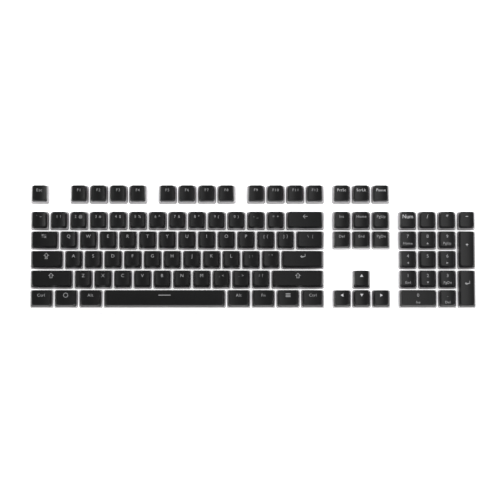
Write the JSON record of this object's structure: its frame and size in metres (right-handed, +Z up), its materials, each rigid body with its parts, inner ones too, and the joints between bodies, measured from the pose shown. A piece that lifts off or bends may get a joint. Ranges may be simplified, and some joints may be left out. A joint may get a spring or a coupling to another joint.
{
  "type": "mechanical keyboard",
  "caption": "Full-size mechanical keyboard: sculpted two-shot keycaps on spring switches, wire stabilisers, a slim case, folding rear feet and a cable socket.",
  "frame": {"origin": "on the desk, under the middle of the case", "axes": "+X to the typist's right, +Y to the back edge, +Z up"},
  "size_m": [0.4374, 0.126, 0.0342],
  "materials": {
    "white_case": "fine satin moulded plastic",
    "white_plate": "powder coated",
    "keycap_black": "fine matt, black shot over a milky shot",
    "milky": "translucent milky",
    "clear_housing": "milky clear",
    "housing_black": "satin nylon",
    "chip_black": "moulded epoxy",
    "board": "solder mask over glass fibre",
    "steel": "bright",
    "contact_metal": "bright copper alloy",
    "brass": "turned",
    "rubber": "matt"
  },
  "bodies": {
    "case": {"board_chips": "chip_black", "board_lamps": "milky", "bottom_tray": "white_case", "case_screws": "steel", "circuit_board": "board", "indicator_lenses": "milky", "plate_standoffs": "brass", "rubber_feet": "rubber", "stabiliser_guides": "housing_black", "switch_bases": "housing_black", "switch_contacts": "contact_metal", "switch_covers": "clear_housing", "switch_plate": "white_plate", "switch_springs": "steel", "usb_socket": "steel"},
    "key_esc": {"key_esc": "keycap_black"},
    "keys_f1_to_f4": {"keys_f1_to_f4": "keycap_black"},
    "keys_f5_to_f8": {"keys_f5_to_f8": "keycap_black"},
    "keys_f9_to_f12": {"keys_f9_to_f12": "keycap_black"},
    "keys_print_to_pause": {"keys_print_to_pause": "keycap_black"},
    "keys_number_row": {"keys_number_row": "keycap_black"},
    "key_backspace": {"key_backspace": "keycap_black"},
    "keys_insert_to_page_down": {"keys_insert_to_page_down": "keycap_black"},
    "key_tab": {"key_tab": "keycap_black"},
    "keys_top_letter_row": {"keys_top_letter_row": "keycap_black"},
    "key_backslash": {"key_backslash": "keycap_black"},
    "key_caps_lock": {"key_caps_lock": "keycap_black"},
    "keys_home_letter_row": {"keys_home_letter_row": "keycap_black"},
    "key_enter": {"key_enter": "keycap_black"},
    "key_left_shift": {"key_left_shift": "keycap_black"},
    "keys_bottom_letter_row": {"keys_bottom_letter_row": "keycap_black"},
    "key_right_shift": {"key_right_shift": "keycap_black"},
    "key_left_ctrl": {"key_left_ctrl": "keycap_black"},
    "key_system": {"key_system": "keycap_black"},
    "key_left_alt": {"key_left_alt": "keycap_black"},
    "key_space": {"key_space": "keycap_black"},
    "key_right_alt": {"key_right_alt": "keycap_black"},
    "key_fn": {"key_fn": "keycap_black"},
    "key_menu": {"key_menu": "keycap_black"},
    "key_right_ctrl": {"key_right_ctrl": "keycap_black"},
    "key_arrow_up": {"key_arrow_up": "keycap_black"},
    "key_arrow_left": {"key_arrow_left": "keycap_black"},
    "key_arrow_down": {"key_arrow_down": "keycap_black"},
    "key_arrow_right": {"key_arrow_right": "keycap_black"},
    "keys_numpad": {"keys_numpad": "keycap_black"},
    "key_numpad_zero": {"key_numpad_zero": "keycap_black"},
    "key_numpad_plus": {"key_numpad_plus": "keycap_black"},
    "key_numpad_enter": {"key_numpad_enter": "keycap_black"},
    "stabiliser_wire_backspace": {"stabiliser_wire_backspace": "steel"},
    "stabiliser_wire_enter": {"stabiliser_wire_enter": "steel"},
    "stabiliser_wire_left_shift": {"stabiliser_wire_left_shift": "steel"},
    "stabiliser_wire_numpad_enter": {"stabiliser_wire_numpad_enter": "steel"},
    "stabiliser_wire_numpad_plus": {"stabiliser_wire_numpad_plus": "steel"},
    "stabiliser_wire_numpad_zero": {"stabiliser_wire_numpad_zero": "steel"},
    "stabiliser_wire_right_shift": {"stabiliser_wire_right_shift": "steel"},
    "stabiliser_wire_space": {"stabiliser_wire_space": "steel"},
    "tilt_foot_left": {"tilt_foot_left": "white_case", "tilt_foot_tip_left": "rubber"},
    "tilt_foot_right": {"tilt_foot_right": "white_case", "tilt_foot_tip_right": "rubber"}
  },
  "joints": [
    {"name": "key_esc_press", "type": "slide", "parent": "case", "child": "key_esc", "axis": [0, 0, -1], "range_m": [0, 0.004], "stiffness_N_per_m": 75, "springref_m": -0.004},
    {"name": "keys_f1_to_f4_press", "type": "slide", "parent": "case", "child": "keys_f1_to_f4", "axis": [0, 0, -1], "range_m": [0, 0.004], "stiffness_N_per_m": 300, "springref_m": -0.004},
    {"name": "keys_f5_to_f8_press", "type": "slide", "parent": "case", "child": "keys_f5_to_f8", "axis": [0, 0, -1], "range_m": [0, 0.004], "stiffness_N_per_m": 300, "springref_m": -0.004},
    {"name": "keys_f9_to_f12_press", "type": "slide", "parent": "case", "child": "keys_f9_to_f12", "axis": [0, 0, -1], "range_m": [0, 0.004], "stiffness_N_per_m": 300, "springref_m": -0.004},
    {"name": "keys_print_to_pause_press", "type": "slide", "parent": "case", "child": "keys_print_to_pause", "axis": [0, 0, -1], "range_m": [0, 0.004], "stiffness_N_per_m": 225, "springref_m": -0.004},
    {"name": "keys_number_row_press", "type": "slide", "parent": "case", "child": "keys_number_row", "axis": [0, 0, -1], "range_m": [0, 0.004], "stiffness_N_per_m": 975, "springref_m": -0.004, "deforming": ["switch_springs"]},
    {"name": "key_backspace_press", "type": "slide", "parent": "case", "child": "key_backspace", "axis": [0, 0, -1], "range_m": [0, 0.004], "stiffness_N_per_m": 75, "springref_m": -0.004},
    {"name": "keys_insert_to_page_down_press", "type": "slide", "parent": "case", "child": "keys_insert_to_page_down", "axis": [0, 0, -1], "range_m": [0, 0.004], "stiffness_N_per_m": 450, "springref_m": -0.004},
    {"name": "key_tab_press", "type": "slide", "parent": "case", "child": "key_tab", "axis": [0, 0, -1], "range_m": [0, 0.004], "stiffness_N_per_m": 75, "springref_m": -0.004},
    {"name": "keys_top_letter_row_press", "type": "slide", "parent": "case", "child": "keys_top_letter_row", "axis": [0, 0, -1], "range_m": [0, 0.004], "stiffness_N_per_m": 900, "springref_m": -0.004},
    {"name": "key_backslash_press", "type": "slide", "parent": "case", "child": "key_backslash", "axis": [0, 0, -1], "range_m": [0, 0.004], "stiffness_N_per_m": 75, "springref_m": -0.004},
    {"name": "key_caps_lock_press", "type": "slide", "parent": "case", "child": "key_caps_lock", "axis": [0, 0, -1], "range_m": [0, 0.004], "stiffness_N_per_m": 75, "springref_m": -0.004},
    {"name": "keys_home_letter_row_press", "type": "slide", "parent": "case", "child": "keys_home_letter_row", "axis": [0, 0, -1], "range_m": [0, 0.004], "stiffness_N_per_m": 825, "springref_m": -0.004},
    {"name": "key_enter_press", "type": "slide", "parent": "case", "child": "key_enter", "axis": [0, 0, -1], "range_m": [0, 0.004], "stiffness_N_per_m": 75, "springref_m": -0.004},
    {"name": "key_left_shift_press", "type": "slide", "parent": "case", "child": "key_left_shift", "axis": [0, 0, -1], "range_m": [0, 0.004], "stiffness_N_per_m": 75, "springref_m": -0.004},
    {"name": "keys_bottom_letter_row_press", "type": "slide", "parent": "case", "child": "keys_bottom_letter_row", "axis": [0, 0, -1], "range_m": [0, 0.004], "stiffness_N_per_m": 750, "springref_m": -0.004},
    {"name": "key_right_shift_press", "type": "slide", "parent": "case", "child": "key_right_shift", "axis": [0, 0, -1], "range_m": [0, 0.004], "stiffness_N_per_m": 75, "springref_m": -0.004},
    {"name": "key_left_ctrl_press", "type": "slide", "parent": "case", "child": "key_left_ctrl", "axis": [0, 0, -1], "range_m": [0, 0.004], "stiffness_N_per_m": 75, "springref_m": -0.004},
    {"name": "key_system_press", "type": "slide", "parent": "case", "child": "key_system", "axis": [0, 0, -1], "range_m": [0, 0.004], "stiffness_N_per_m": 75, "springref_m": -0.004},
    {"name": "key_left_alt_press", "type": "slide", "parent": "case", "child": "key_left_alt", "axis": [0, 0, -1], "range_m": [0, 0.004], "stiffness_N_per_m": 75, "springref_m": -0.004},
    {"name": "key_space_press", "type": "slide", "parent": "case", "child": "key_space", "axis": [0, 0, -1], "range_m": [0, 0.004], "stiffness_N_per_m": 75, "springref_m": -0.004},
    {"name": "key_right_alt_press", "type": "slide", "parent": "case", "child": "key_right_alt", "axis": [0, 0, -1], "range_m": [0, 0.004], "stiffness_N_per_m": 75, "springref_m": -0.004},
    {"name": "key_fn_press", "type": "slide", "parent": "case", "child": "key_fn", "axis": [0, 0, -1], "range_m": [0, 0.004], "stiffness_N_per_m": 75, "springref_m": -0.004},
    {"name": "key_menu_press", "type": "slide", "parent": "case", "child": "key_menu", "axis": [0, 0, -1], "range_m": [0, 0.004], "stiffness_N_per_m": 75, "springref_m": -0.004},
    {"name": "key_right_ctrl_press", "type": "slide", "parent": "case", "child": "key_right_ctrl", "axis": [0, 0, -1], "range_m": [0, 0.004], "stiffness_N_per_m": 75, "springref_m": -0.004},
    {"name": "key_arrow_up_press", "type": "slide", "parent": "case", "child": "key_arrow_up", "axis": [0, 0, -1], "range_m": [0, 0.004], "stiffness_N_per_m": 75, "springref_m": -0.004},
    {"name": "key_arrow_left_press", "type": "slide", "parent": "case", "child": "key_arrow_left", "axis": [0, 0, -1], "range_m": [0, 0.004], "stiffness_N_per_m": 75, "springref_m": -0.004},
    {"name": "key_arrow_down_press", "type": "slide", "parent": "case", "child": "key_arrow_down", "axis": [0, 0, -1], "range_m": [0, 0.004], "stiffness_N_per_m": 75, "springref_m": -0.004},
    {"name": "key_arrow_right_press", "type": "slide", "parent": "case", "child": "key_arrow_right", "axis": [0, 0, -1], "range_m": [0, 0.004], "stiffness_N_per_m": 75, "springref_m": -0.004},
    {"name": "keys_numpad_press", "type": "slide", "parent": "case", "child": "keys_numpad", "axis": [0, 0, -1], "range_m": [0, 0.004], "stiffness_N_per_m": 1050, "springref_m": -0.004},
    {"name": "key_numpad_zero_press", "type": "slide", "parent": "case", "child": "key_numpad_zero", "axis": [0, 0, -1], "range_m": [0, 0.004], "stiffness_N_per_m": 75, "springref_m": -0.004},
    {"name": "key_numpad_plus_press", "type": "slide", "parent": "case", "child": "key_numpad_plus", "axis": [0, 0, -1], "range_m": [0, 0.004], "stiffness_N_per_m": 75, "springref_m": -0.004},
    {"name": "key_numpad_enter_press", "type": "slide", "parent": "case", "child": "key_numpad_enter", "axis": [0, 0, -1], "range_m": [0, 0.004], "stiffness_N_per_m": 75, "springref_m": -0.004},
    {"name": "stabiliser_wire_backspace_swing", "type": "hinge", "parent": "case", "child": "stabiliser_wire_backspace", "pos_m": [0.05048, 0.01694, 0.0128], "axis": [-1, 0, 0], "range_deg": [0, 27.2]},
    {"name": "stabiliser_wire_enter_swing", "type": "hinge", "parent": "case", "child": "stabiliser_wire_enter", "pos_m": [0.0481, -0.02116, 0.0128], "axis": [-1, 0, 0], "range_deg": [0, 27.2]},
    {"name": "stabiliser_wire_left_shift_swing", "type": "hinge", "parent": "case", "child": "stabiliser_wire_left_shift", "pos_m": [-0.19479, -0.04021, 0.0128], "axis": [-1, 0, 0], "range_deg": [0, 27.2]},
    {"name": "stabiliser_wire_right_shift_swing", "type": "hinge", "parent": "case", "child": "stabiliser_wire_right_shift", "pos_m": [0.04334, -0.04021, 0.0128], "axis": [-1, 0, 0], "range_deg": [0, 27.2]},
    {"name": "stabiliser_wire_space_swing", "type": "hinge", "parent": "case", "child": "stabiliser_wire_space", "pos_m": [-0.08525, -0.05926, 0.0128], "axis": [-1, 0, 0], "range_deg": [0, 27.2]},
    {"name": "stabiliser_wire_numpad_zero_swing", "type": "hinge", "parent": "case", "child": "stabiliser_wire_numpad_zero", "pos_m": [0.15907, -0.05926, 0.0128], "axis": [-1, 0, 0], "range_deg": [0, 27.2]},
    {"name": "stabiliser_wire_numpad_plus_swing", "type": "hinge", "parent": "case", "child": "stabiliser_wire_numpad_plus", "pos_m": [0.21499, -0.00333, 0.0128], "axis": [0, -1, 0], "range_deg": [0, 27.2]},
    {"name": "stabiliser_wire_numpad_enter_swing", "type": "hinge", "parent": "case", "child": "stabiliser_wire_numpad_enter", "pos_m": [0.21499, -0.04143, 0.0128], "axis": [0, -1, 0], "range_deg": [0, 27.2]},
    {"name": "tilt_foot_left_hinge", "type": "hinge", "parent": "case", "child": "tilt_foot_left", "pos_m": [-0.14672, 0.05348, 0.003], "axis": [1, 0, 0], "range_deg": [0, 95]},
    {"name": "tilt_foot_right_hinge", "type": "hinge", "parent": "case", "child": "tilt_foot_right", "pos_m": [0.14672, 0.05348, 0.003], "axis": [1, 0, 0], "range_deg": [0, 95]}
  ],
  "couplings": [
    {"joint": "stabiliser_wire_backspace_swing", "follows": "key_backspace_press", "rad_per_m": 118.23},
    {"joint": "stabiliser_wire_enter_swing", "follows": "key_enter_press", "rad_per_m": 118.23},
    {"joint": "stabiliser_wire_left_shift_swing", "follows": "key_left_shift_press", "rad_per_m": 118.23},
    {"joint": "stabiliser_wire_right_shift_swing", "follows": "key_right_shift_press", "rad_per_m": 118.23},
    {"joint": "stabiliser_wire_space_swing", "follows": "key_space_press", "rad_per_m": 118.23},
    {"joint": "stabiliser_wire_numpad_zero_swing", "follows": "key_numpad_zero_press", "rad_per_m": 118.23},
    {"joint": "stabiliser_wire_numpad_plus_swing", "follows": "key_numpad_plus_press", "rad_per_m": 118.23},
    {"joint": "stabiliser_wire_numpad_enter_swing", "follows": "key_numpad_enter_press", "rad_per_m": 118.23}
  ]
}
